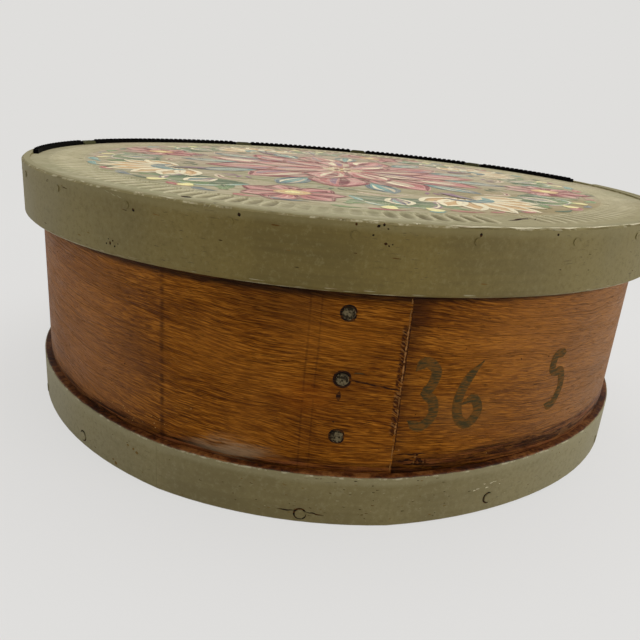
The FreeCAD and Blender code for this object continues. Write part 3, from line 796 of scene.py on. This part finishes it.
def leaf(brush, base, direction, length, width, bend, tip="lemon"):
    """A bent leaf with a darker spine and a pale tip."""
    middle = base + spin(direction, length * 0.5)
    end = middle + spin(direction + bend, length * 0.5)
    line = smooth_line([base, middle, end], 14)
    brush.stroke(line, width, almond, "moss", "leaf", 1)
    brush.stroke(line[1:-3], width * 0.28, almond, "moss", None, 2, 2)
    reach = spin(direction + bend, length * 0.20)
    brush.mark([end - reach * 0.7, end, end + reach * 0.3], width * 0.42, tip, 3)


def tendril(brush, points, width, colour, edge):
    """A long curling stroke with a thin light line along it."""
    line = smooth_line(points, 22)
    brush.stroke(line, width, comma, colour, None, 1)
    brush.stroke(line[2:-4], width * 0.3, almond, edge, None, 2, 2)


def dashes(brush, centre, direction, count, length, colour, spread):
    """A fan of short tapering strokes."""
    for i in range(count):
        heading = direction + spread * (i / (count - 1) - 0.5)
        base = centre + spin(heading, length * 0.5)
        brush.mark([base, base + spin(heading + 6, length * 0.6), base + spin(heading + 12, length)],
                   length * 0.26, colour, 2, 8, comma)


def paint_rose(rose, sepals):
    """A great rose of two rings of petals round a blossom, and sepals with dashes between them."""
    middle = ROSE_MIDDLE
    streaks = ("wine", "cream", "plum", "rose", "sand", "pink")
    for ring, (count, inner, length, width) in enumerate(ROSE_RINGS):
        for k in range(count):
            around = 360 * k / count + 7 + 11 * ring
            colours = ("pink", "rose", "wine") if (k + ring) % 2 == 0 else ("rose", "pink", "wine")
            petal(rose, middle + spin(around, inner * MM), around, length * MM * draw.uniform(0.92, 1.06),
                  width * MM, colours, draw.sample(streaks, 4), 1 + 3 * ring, 2.2 * MM)
    blossom(rose, middle, 17 * MM, 8, ("ochre", "amber", "cream"), "wine")
    for k in range(SEPALS):
        around = 360 * (k + 0.5) / SEPALS + 7
        petal(sepals, middle + spin(around, 62 * MM), around, 38 * MM, 15 * MM, ("teal", "slate", "slate"),
              ("cream", "teal", "sand"), 0, 2.4 * MM)
        aside = around + 16
        dashes(sepals, middle + spin(aside, 88 * MM), aside, 4, 9 * MM, ("plum", "moss")[k % 2], 100)


def paint_ring(flowers, leaves, border):
    """A ring of open flowers and fans in turn, with leaves, tendrils and buds between them."""
    for k in range(GROUPS):
        around = 360 / GROUPS * k + FIRST_GROUP
        if k % 2:
            fan(flowers, spin(around, 103 * MM), around, 39 * MM, 8, ("ochre", "amber", "cream"), "slate")
            dashes(border, spin(around, 137 * MM), around - 20, 5, 6 * MM, "moss", 120)
        else:
            blossom(flowers, spin(around, 121 * MM), 25 * MM, 7, ("rose", "pink", "wine"), "amber", around)
        for side in (-1, 1):
            root = spin(around + 12 * side, 112 * MM)
            leaf(leaves, root, around + 84 * side, 46 * MM, 18 * MM, -34 * side)
            tendril(leaves, [root, spin(around + 17 * side, 134 * MM), spin(around + 26 * side, 137 * MM)],
                    4 * MM, ("teal", "plum")[k % 2], "cream")
        between = around + 180 / GROUPS
        petal(flowers, spin(between, 112 * MM), between, 20 * MM, 12 * MM, ("plum", "slate", "cream"),
              ("teal", "sand"), 2, 2.4 * MM)
        for side in (-1, 1):
            leaf(leaves, spin(between + 2 * side, 122 * MM), between + 76 * side, 26 * MM, 11 * MM,
                 -30 * side, "leaf")
        tendril(leaves, [spin(between - 8, 98 * MM), spin(between, 105 * MM), spin(between + 9, 96 * MM)],
                4.5 * MM, "sand", "wine")


def paint_border(border):
    """Short strokes along the inside of the carving."""
    for k in range(BORDER_STROKES):
        around = 360 / BORDER_STROKES * k + draw.uniform(-1.5, 1.5)
        spot = spin(around, draw.uniform(141, 146) * MM)
        along = spin(around + 90 + draw.uniform(-14, 14), draw.uniform(4, 10) * MM)
        border.mark([spot - along, spot + spin(around, 1.5 * MM), spot + along], draw.uniform(3.0, 6.5) * MM,
                    draw.choice(("teal", "wine", "rose", "moss", "slate", "leaf")), 2, 10, comma)


def paint_lid(material):
    """A folk design: a great rose in the middle with sepals round it, then a ring of open flowers and
    fans with leaves between them, and a border of teardrops inside the carving."""
    rose, sepals = Brush("painted_rose"), Brush("painted_sepals")
    flowers, leaves, border = Brush("painted_flowers"), Brush("painted_leaves"), Brush("painted_border")
    paint_rose(rose, sepals)
    paint_ring(flowers, leaves, border)
    paint_border(border)
    for brush in (rose, sepals, flowers, leaves, border):
        brush.lay(material, (JOINT_FRONT, JOINT_BACK))


# ---- marks of age and use: where they go
MARK_LIFT = 0.05 * MM
LOOK_FROM, LOOK_LENGTH = 300 * MM, 140 * MM
# how many marks of each kind are scattered
LAP_SPECKS, CHIPS, GLINTS = 16, 46, 18
FOOT_SCRATCHES, FOOT_NICKS = 22, 150
RIM_SCRATCHES, RIM_RUBS = 26, 22


def at(degrees, height):
    """A point on a hoop unrolled flat, from its angle and its height in millimetres."""
    return Vector((math.radians(degrees) * WALL_RADIUS, height * MM))


def on_hoop(node):
    """The surface of a hoop seen from outside: found by looking inward at the node's own mesh, or the
    place nearest to it where the look meets a nail's hole or passes the hoop's edge."""
    piece = NODES[node]
    points = [piece.matrix_world @ vertex.co for vertex in piece.data.vertices]
    tree = BVHTree.FromPolygons(points, [face.vertices[:] for face in piece.data.polygons])

    def surface(spot, lift):
        angle = spot.x / WALL_RADIUS
        away = Vector((math.cos(angle), math.sin(angle), 0.0))
        level = Vector((0, 0, spot.y))
        hit = tree.ray_cast(away * LOOK_FROM + level, -away, LOOK_LENGTH)[0]
        if hit is None:
            hit = tree.find_nearest(away * LAP_RADIUS + level)[0]
        return hit + away * (lift + MARK_LIFT)

    return surface


def on_brim(spot, lift):
    """The outer corner of the lid hoop: over it inward where y is positive, down its side where not."""
    degrees = math.degrees(spot.x / WALL_RADIUS)
    if spot.y >= 0:
        return polar(RIM_RADIUS - spot.y, degrees, RIM_HIGH[2] + lift + MARK_LIFT)
    return polar(RIM_RADIUS + MARK_LIFT, degrees, RIM_HIGH[2] + spot.y + lift)


def jagged(start, end, count, sway):
    """Points from one place to another that stray to either side, but not at the ends."""
    aside = (end - start).normalized().orthogonal() * sway
    return [start.lerp(end, i / count) + aside * (draw.uniform(-1, 1) if 0 < i < count else 0.0)
            for i in range(count + 1)]


def scratch(spot, lean, reach, end_lean, length):
    """Three points of a short scratch: a spot and two places beyond it, by direction and distance in mm."""
    return [spot, spot + spin(lean, reach * MM), spot + spin(end_lean, length * MM)]


def speck(brush, spot, size, colour, layer=0):
    """A dot a little longer one way than the other."""
    along = spin(draw.uniform(0, 180), size * MM / 2)
    brush.mark([spot - along, spot, spot + along], size * MM * draw.uniform(0.6, 0.9), colour, layer)


def ring(brush, spot, size, width, colour, turn=0.0, sweep=360.0):
    """A ring, or a part of one, round a nail's head."""
    points = [spot + spin(turn + sweep * i / 24, size * MM) for i in range(25)]
    brush.stroke(points, width * MM, even, colour, None, 0, 2)


# ---- marks on the wall
# height, first and last angle, and width in mm of the cracks beside the foot of the lap
FOOT_CRACKS = ((30.2, -79.0, -74.6, 0.8), (27.4, -78.9, -76.4, 1.2), (25.4, -77.8, -73.8, 1.0))
# the digits' angles, and the strokes of each through points in mm
DIGITS = {
    -76.2: (((-6, 11), (-1, 15), (5, 11), (3, 4), (-2, 1)),
            ((-2, 1), (5, -2), (6, -9), (0, -14), (-7, -11))),
    -69.4: (((6, 15), (-2, 7), (-6, -3), (-4, -11), (2, -14), (7, -8), (3, -2), (-4, -5)),),
    -53.0: (((5, 13), (-4, 12), (-5, 3)),
            ((-5, 3), (3, 4), (6, -4), (1, -12), (-6, -11)))}
DIGIT_SQUEEZE = 0.8


def rub_and_shade_lap(edge):
    """Short pale lengths along the lap's free end, and beside it a painted shadow: a dark jagged line."""
    low, high = FOOT_TOP / MM + 1, LID_EDGE / MM + 2
    height = low
    while height < high:
        top = min(height + draw.uniform(2, 8), high)
        edge.mark(jagged(at(LAP_END - 0.18, height), at(LAP_END - 0.18, top), 4, 0.12 * MM),
                  draw.uniform(0.3, 0.6) * MM, draw.choice(("bark", "bark", "chip")), 1, 10)
        height = top + draw.uniform(-0.5, 2.0)
    # painted shadow of the lap's step, a dark jagged line in the crack colour
    edge.mark(jagged(at(LAP_END + 0.30, low), at(LAP_END + 0.30, high), 16, 0.2 * MM), 1.2 * MM, "crack", 0,
              48, even)


def tear_edge(edge):
    """Slanting dark tears along the lap's free end, with pale splinters among them."""
    for start, stop in LAP_TEARS:
        height = start
        while height < stop:
            left = at(LAP_END - draw.uniform(0.65, 0.95), height)
            slope, length = draw.uniform(-52, -26), draw.uniform(1.3, 2.4) * MM
            edge.mark([left, left + spin(slope + 9, length / 2), left + spin(slope, length)],
                      draw.uniform(0.45, 0.85) * MM, "bruise", 2)
            if draw.random() < 0.4:
                edge.mark([left + spin(90, 0.7 * MM), left + spin(40, 0.9 * MM) + spin(slope, length / 2)],
                          0.4 * MM, "bark", 2, 4)
            if draw.random() < 0.3:
                spot = at(LAP_END - 0.22, height - 1)
                edge.mark([spot, spot + spin(86, draw.uniform(1, 2.4) * MM)], draw.uniform(0.5, 0.9) * MM,
                          "chip", 3, 4)
            height += draw.uniform(0.9, 2.3)


def crack_foot_of_lap(chips):
    """Cracks and specks on the wall beside the foot of the lap."""
    for level, start, stop, width in FOOT_CRACKS:
        chips.mark(jagged(at(start, level), at(stop, level), 8, 0.35 * MM), width * MM, "crack", 1, 30)
    for i in range(LAP_SPECKS):
        spot = at(draw.gauss(-75.5, 0.6), draw.gauss(27.6, 1.7))
        speck(chips, spot, draw.uniform(0.7, 2.0), ("crack", "crack", "bruise", "bark")[i % 4], 2)


def ring_wall_nails(nails):
    """A dark ring round each nail, and the split and stains at the middle one."""
    low, middle, high = WALL_NAIL_HEIGHTS
    for level in (low, middle, high):
        ring(nails, at(WALL_NAIL_ANGLE, level), 2.9, 1.0, "soot")
    ring(nails, at(WALL_NAIL_ANGLE, middle), 3.3, 0.9, "crack")
    split = jagged(at(WALL_NAIL_ANGLE + 1.0, middle), at(LAP_END + 0.1, middle - 3.8), 7, 0.15 * MM)
    nails.mark(split, 0.65 * MM, "crack", 1, 30, even)
    for colour, width, places in (("crack", 1.8, ((-0.2, -5.0), (-0.3, -7.5), (-0.2, -9.5))),
                                  ("dirt", 0.6, ((1.3, 2.6), (2.0, 3.0), (2.8, 2.6)))):
        points = [at(WALL_NAIL_ANGLE + aside, middle + up) for aside, up in places]
        nails.mark(points, width * MM, colour, 0, 8)


def write_number(number):
    """Three digits, brushed in dark ink over a wider brown wash."""
    for degrees, strokes in DIGITS.items():
        for points in strokes:
            line = smooth_line([at(degrees, NUMBER_HEIGHT) + Vector((DIGIT_SQUEEZE * u * MM, v * MM))
                                for u, v in points], 26)
            number.stroke(line, 4.5 * MM, even, "wash")
            number.stroke(line, 3.6 * MM, even, "ink", layer=1)


def chip_and_glint_wall(chips):
    """Small chips and specks all over the front, and pale glints at the lower left."""
    for i in range(CHIPS):
        spot = at(draw.uniform(-175, -5), draw.uniform(27, 99))
        speck(chips, spot, draw.uniform(0.4, 1.0), draw.choice(("chip", "resin", "crack", "crack")))
    # painted glints: pale specks standing for light glancing off the varnish
    for i in range(GLINTS):
        spot = at(draw.gauss(-117, 5), draw.gauss(31, 2.5))
        speck(chips, spot, draw.uniform(0.4, 0.8), "ochre")


def mark_wall(material):
    """The lap's worn edge, the rings and the split at its nails, a painted number and small chips."""
    wall = on_hoop("wall_hoop")
    # the lap's edge carries its wear, its tears and the painted shadow beside its step
    edge, nails = Brush("lap_edge_wear_and_shadow", wall), Brush("wall_nail_rings", wall)
    number, chips = Brush("wall_number", wall), Brush("wall_chips_and_glints", wall)
    rub_and_shade_lap(edge)
    tear_edge(edge)
    crack_foot_of_lap(chips)
    ring_wall_nails(nails)
    write_number(number)
    chip_and_glint_wall(chips)
    for brush in (edge, nails, chips):
        brush.lay(material, (), "box", "varnished_wood")
    number.lay(old_marks("faded_ink", 0.40, 0.60, 0.95, paint(106, 68, 20)), (), "box", "varnished_wood")


# ---- marks on the foot
# angle and height in mm of each floor nail at the front, and its ring: radius in mm, beginning, sweep
FOOT_NAILS = ((-129.6, 5.5, 2.45, 20, 345), (-91.5, 4.4, 2.45, 20, 345), (-64.0, 7.0, 2.6, 60, 230))
FOOT_STAINS = ((-116.9, 15.1), (-116.2, 14.0), (-120.8, 3.0), (-121.4, 4.2), (-118.0, 15.8))


def crack_foot(rings):
    """A ring round each nail, and at the middle one a crack to either side and a dark bow over it."""
    for degrees, level, size, turn, sweep in FOOT_NAILS:
        ring(rings, at(degrees, level), size, 0.7, "soot", turn, sweep)
    degrees, level = FOOT_NAILS[1][:2]
    for side in (-1, 1):
        start = at(degrees + 0.7 * side, level + 1.2)
        stop = at(degrees + 3.2 * side, level + 0.6 - 0.5 * side)
        rings.mark(jagged(start, stop, 5, 0.2 * MM), 0.6 * MM, "soot", 0, 16)
    bow = [at(degrees - 0.75, level + 1.3), at(degrees, level + 2.1), at(degrees + 0.75, level + 1.3)]
    rings.mark(bow, 0.9 * MM, "soot", 1, 10)


def nick_foot(nicks):
    """Two rows of pale scratches at the right, a few stains, and nicks that gather at the front."""
    for i in range(FOOT_SCRATCHES):
        spot = at(draw.uniform(-67.5, -62.0), draw.choice((12.6, 14.6)) + draw.uniform(-0.5, 0.5))
        nicks.mark(scratch(spot, 6, 0.5, 3, draw.uniform(0.7, 1.8)), draw.uniform(0.2, 0.4) * MM,
                   draw.choice(("worn", "lip")), 1)
    for degrees, level in FOOT_STAINS:
        speck(nicks, at(degrees, level), draw.uniform(1.2, 2.2), "resin")
    for i in range(FOOT_NICKS):
        spot = at(draw.gauss(-84, 9) if i % 2 else draw.uniform(-175, -5), draw.uniform(2, 22))
        lean = draw.uniform(-30, 30)
        nicks.mark(scratch(spot, lean, 0.4, lean / 2, draw.uniform(0.5, 1.6)), draw.uniform(0.15, 0.45) * MM,
                   draw.choice(("dirt", "dirt", "resin", "lip")), 0, 5)


def mark_foot(material):
    """Cracked rings round the foot's nails, pale scratches, and nicks in the paint."""
    foot = on_hoop("foot_hoop")
    rings, nicks = Brush("foot_nail_rings", foot), Brush("foot_nicks", foot)
    crack_foot(rings)
    nick_foot(nicks)
    for brush in (rings, nicks):
        brush.lay(material, (), "box", "olive_paint")


# ---- marks on the lid
# angle, height and size in mm of each dark speck on the lid's hoop
LID_SPECKS = (
    (-115.5, 121.1, 1.5), (-101.2, 125.4, 1.5), (-87.9, 126.3, 1.1), (-85.4, 126.2, 1.4),
    (-84.8, 126.8, 1.2), (-84.3, 125.4, 0.8), (-85.9, 122.9, 0.9), (-84.4, 120.1, 1.3),
    (-84.0, 119.4, 0.8), (-83.6, 120.0, 0.6), (-73.3, 125.0, 1.6), (-62.4, 125.4, 1.2),
    (-119.6, 106.1, 1.6), (-119.1, 107.3, 0.9), (-120.3, 105.6, 0.8), (-118.8, 105.2, 1.0),
    (-119.9, 107.6, 0.7), (-118.2, 106.5, 0.7))
# angle, height in mm and slope of the pale scratches near its upper edge
LID_SCRATCHES = ((-120.3, 126.6, -20), (-119.3, 126.2, -28), (-118.2, 125.6, -24), (-105.0, 126.4, 60),
                 (-105.6, 126.3, 68))
# angle and radius in mm of the points of the crack in the lid's top, and of the hole in it
TOP_CRACK = ((-65.2, 160.5), (-63.6, 159.6), (-61.8, 157.2), (-60.0, 156.6), (-57.8, 155.4))
TOP_HOLE = (-110.4, 168.0)


def speck_rim(specks):
    """Dark specks, small scratches, and a row of rubbed lengths along the lower edge."""
    for degrees, level, size in LID_SPECKS:
        speck(specks, at(degrees, level), size, "soot")
    for i in range(RIM_SCRATCHES):
        spot = at(draw.uniform(-170, -20), draw.uniform(102, 125))
        specks.mark(scratch(spot, -3, 1, -4, draw.uniform(1, 4)), draw.uniform(0.25, 0.5) * MM,
                    draw.choice(("dirt", "dirt", "resin")))
    for degrees, level, slope in LID_SCRATCHES:
        specks.mark(scratch(at(degrees, level), slope, 1.5, slope + 6, 3), 0.35 * MM, "lip", 1)
    for i in range(RIM_RUBS):
        spot = at(draw.uniform(-140, -40), draw.uniform(101.6, 102.6))
        specks.mark(scratch(spot, 0, 1.5, 0, draw.uniform(2.5, 6)), draw.uniform(0.2, 0.4) * MM, "lip", 1)


def rub_brim(brim):
    """Worn lengths along the upper corner of the hoop, longer and wider at the front right."""
    degrees = -150.0
    while degrees < -48.0:
        strong = -79 < degrees < -50
        sweep = draw.uniform(3, 8) if strong else draw.uniform(0.8, 3)
        line = smooth_line(jagged(at(degrees, 0.1), at(degrees + sweep, 0.1), 6, 0.25 * MM), 18)
        width = draw.uniform(0.6, 1.0) if strong else draw.uniform(0.3, 0.5)
        brim.stroke(line, width * MM, almond, "worn" if strong or draw.random() < 0.3 else "lip")
        degrees += sweep + (draw.uniform(-1, 0.6) if strong else draw.uniform(0.5, 4))


def damage_top(damage):
    """The crack and the small hole in the lid's top."""
    tear = [polar(radius * MM, degrees, 0).xy for degrees, radius in TOP_CRACK]
    damage.mark(tear, 2.6 * MM, "crack", 0, 24)
    degrees, radius = TOP_HOLE
    hole = polar(radius * MM, degrees, 0).xy
    across = spin(-19, 2.4 * MM)
    damage.stroke(smooth_line([hole - across, hole, hole + across], 10), 3.2 * MM, almond, "soot", None, 1)


def mark_lid(material):
    """Specks and scratches on the lid's hoop, its rubbed corner, and a crack and a hole in its top."""
    specks, brim = Brush("lid_specks", on_hoop("lid_hoop")), Brush("lid_edge_wear", on_brim)
    damage = Brush("lid_top_damage")
    speck_rim(specks)
    rub_brim(brim)
    damage_top(damage)
    damage.lay(material)
    for brush in (specks, brim):
        brush.lay(material, (), "lid", "olive_paint")


# ---- floor and light
BACKDROP = paint(223, 222, 220)
FLOOR_SIZE, FLOOR_DROP = 30.0, 0.05 * MM
FADE_FROM, FADE_TO = 0.25, 1.0
FLOOR_GLOW = 0.84
AIM_HEIGHT = 60 * MM


def make_floor():
    """A wide pale floor. The camera sees it lifted towards the backdrop's colour, and fading into it
    with distance, so that it has no horizon; the light on the box meets a plain white floor."""
    bm = bmesh.new()
    bmesh.ops.create_grid(bm, x_segments=1, y_segments=1, size=FLOOR_SIZE)
    for vertex in bm.verts:
        vertex.co.z = -FLOOR_DROP
    g = Graph("floor", 0.9, 0.0)
    g.fill(g.shader, {"Base Color": paint(236, 236, 236)})
    plain = g.length(g.x, g.y).between(FADE_FROM, FADE_TO) * (1 - FLOOR_GLOW) + FLOOR_GLOW
    glow = g.new("ShaderNodeEmission", {"Color": BACKDROP})
    path = g.new("ShaderNodeLightPath").outputs
    seen = g.calculate("MAXIMUM", path["Is Glossy Ray"], path["Is Transmission Ray"])
    seen = g.calculate("MAXIMUM", path["Is Camera Ray"], seen)
    blend = g.new("ShaderNodeMixShader", (seen * plain, g.shader.outputs[0], glow.outputs[0]))
    g.fill(g.tree.nodes["Material Output"], {"Surface": blend.outputs[0]})
    add_object("floor", bm, g.material)


def make_world():
    """The camera sees the backdrop's colour, and the scene is lit by a dimmer, warmer white."""
    world = bpy.data.worlds.new("studio")
    world.use_nodes = True
    tree = world.node_tree
    seen = tree.nodes["Background"]
    light = tree.nodes.new("ShaderNodeBackground")
    for node, colour, strength in ((seen, BACKDROP, 1.0), (light, (1.0, 0.99, 0.97, 1.0), 0.40)):
        node.inputs["Color"].default_value = colour
        node.inputs["Strength"].default_value = strength
    path = tree.nodes.new("ShaderNodeLightPath")
    blend = tree.nodes.new("ShaderNodeMixShader")
    sources = (path.outputs["Is Camera Ray"], light.outputs[0], seen.outputs[0])
    for source, socket in zip(sources, blend.inputs):
        tree.links.new(source, socket)
    tree.links.new(blend.outputs[0], tree.nodes["World Output"].inputs[0])
    bpy.context.scene.world = world


def add_lamp(name, place, size, power):
    """A soft square lamp that looks at the middle of the box."""
    data = bpy.data.lights.new(name, "AREA")
    data.energy, data.size = power, size
    lamp = bpy.data.objects.new(name, data)
    lamp.location = place
    aim = Vector((0, 0, AIM_HEIGHT)) - Vector(place)
    lamp.rotation_euler = aim.to_track_quat("-Z", "Y").to_euler()
    bpy.context.collection.objects.link(lamp)


def make_lights():
    make_world()
    add_lamp("ceiling", (0.3, 0.3, 1.9), 1.6, 24.0)
    add_lamp("window", (1.9, -1.0, 0.8), 1.2, 14.0)
    add_lamp("room", (-1.8, -0.9, 0.9), 1.2, 4.0)


# ---- the whole scene
make_camera()
make_lights()
make_floor()

wood = varnished_wood()
boards = bare_wood()
foot_paint = olive_paint("olive_paint_foot", FOOT_LOW[2], FOOT_HIGH[2], WALL_RADIUS, None, FOOT_OLIVE)
lid_paint = olive_paint("olive_paint_lid", RIM_LOW[2], RIM_HIGH[2], BOARD_RADIUS, LIT_OLIVE_TOP, OLIVE)
dress(wood, "wall_hoop")
dress(boards, "floor_front_board", "floor_middle_board", "floor_back_board")
dress(foot_paint, "foot_hoop", "floor_nails", "foot_lap_tacks")
dress(lid_paint, "lid_hoop", "lid_nails", "lid_lap_tacks")
dress(olive_paint("olive_paint_saddles", 0.0, 1.0, 0.0, LIT_OLIVE_TOP, SADDLE_OLIVE), "beading_saddles")
dress(iron(), "wall_lap_nails")
dress(black_moulding(), "beading_1", "beading_2", "beading_3", "beading_4", "beading_5")
carve_boards(lid_ground())
paint_lid(folk_paint())
marks = old_marks("old_marks", 0.48, 0.66, 0.40, VENEER["mid"])
mark_wall(marks)
mark_foot(marks)
mark_lid(marks)

bpy.context.scene.view_settings.view_transform = "Standard"
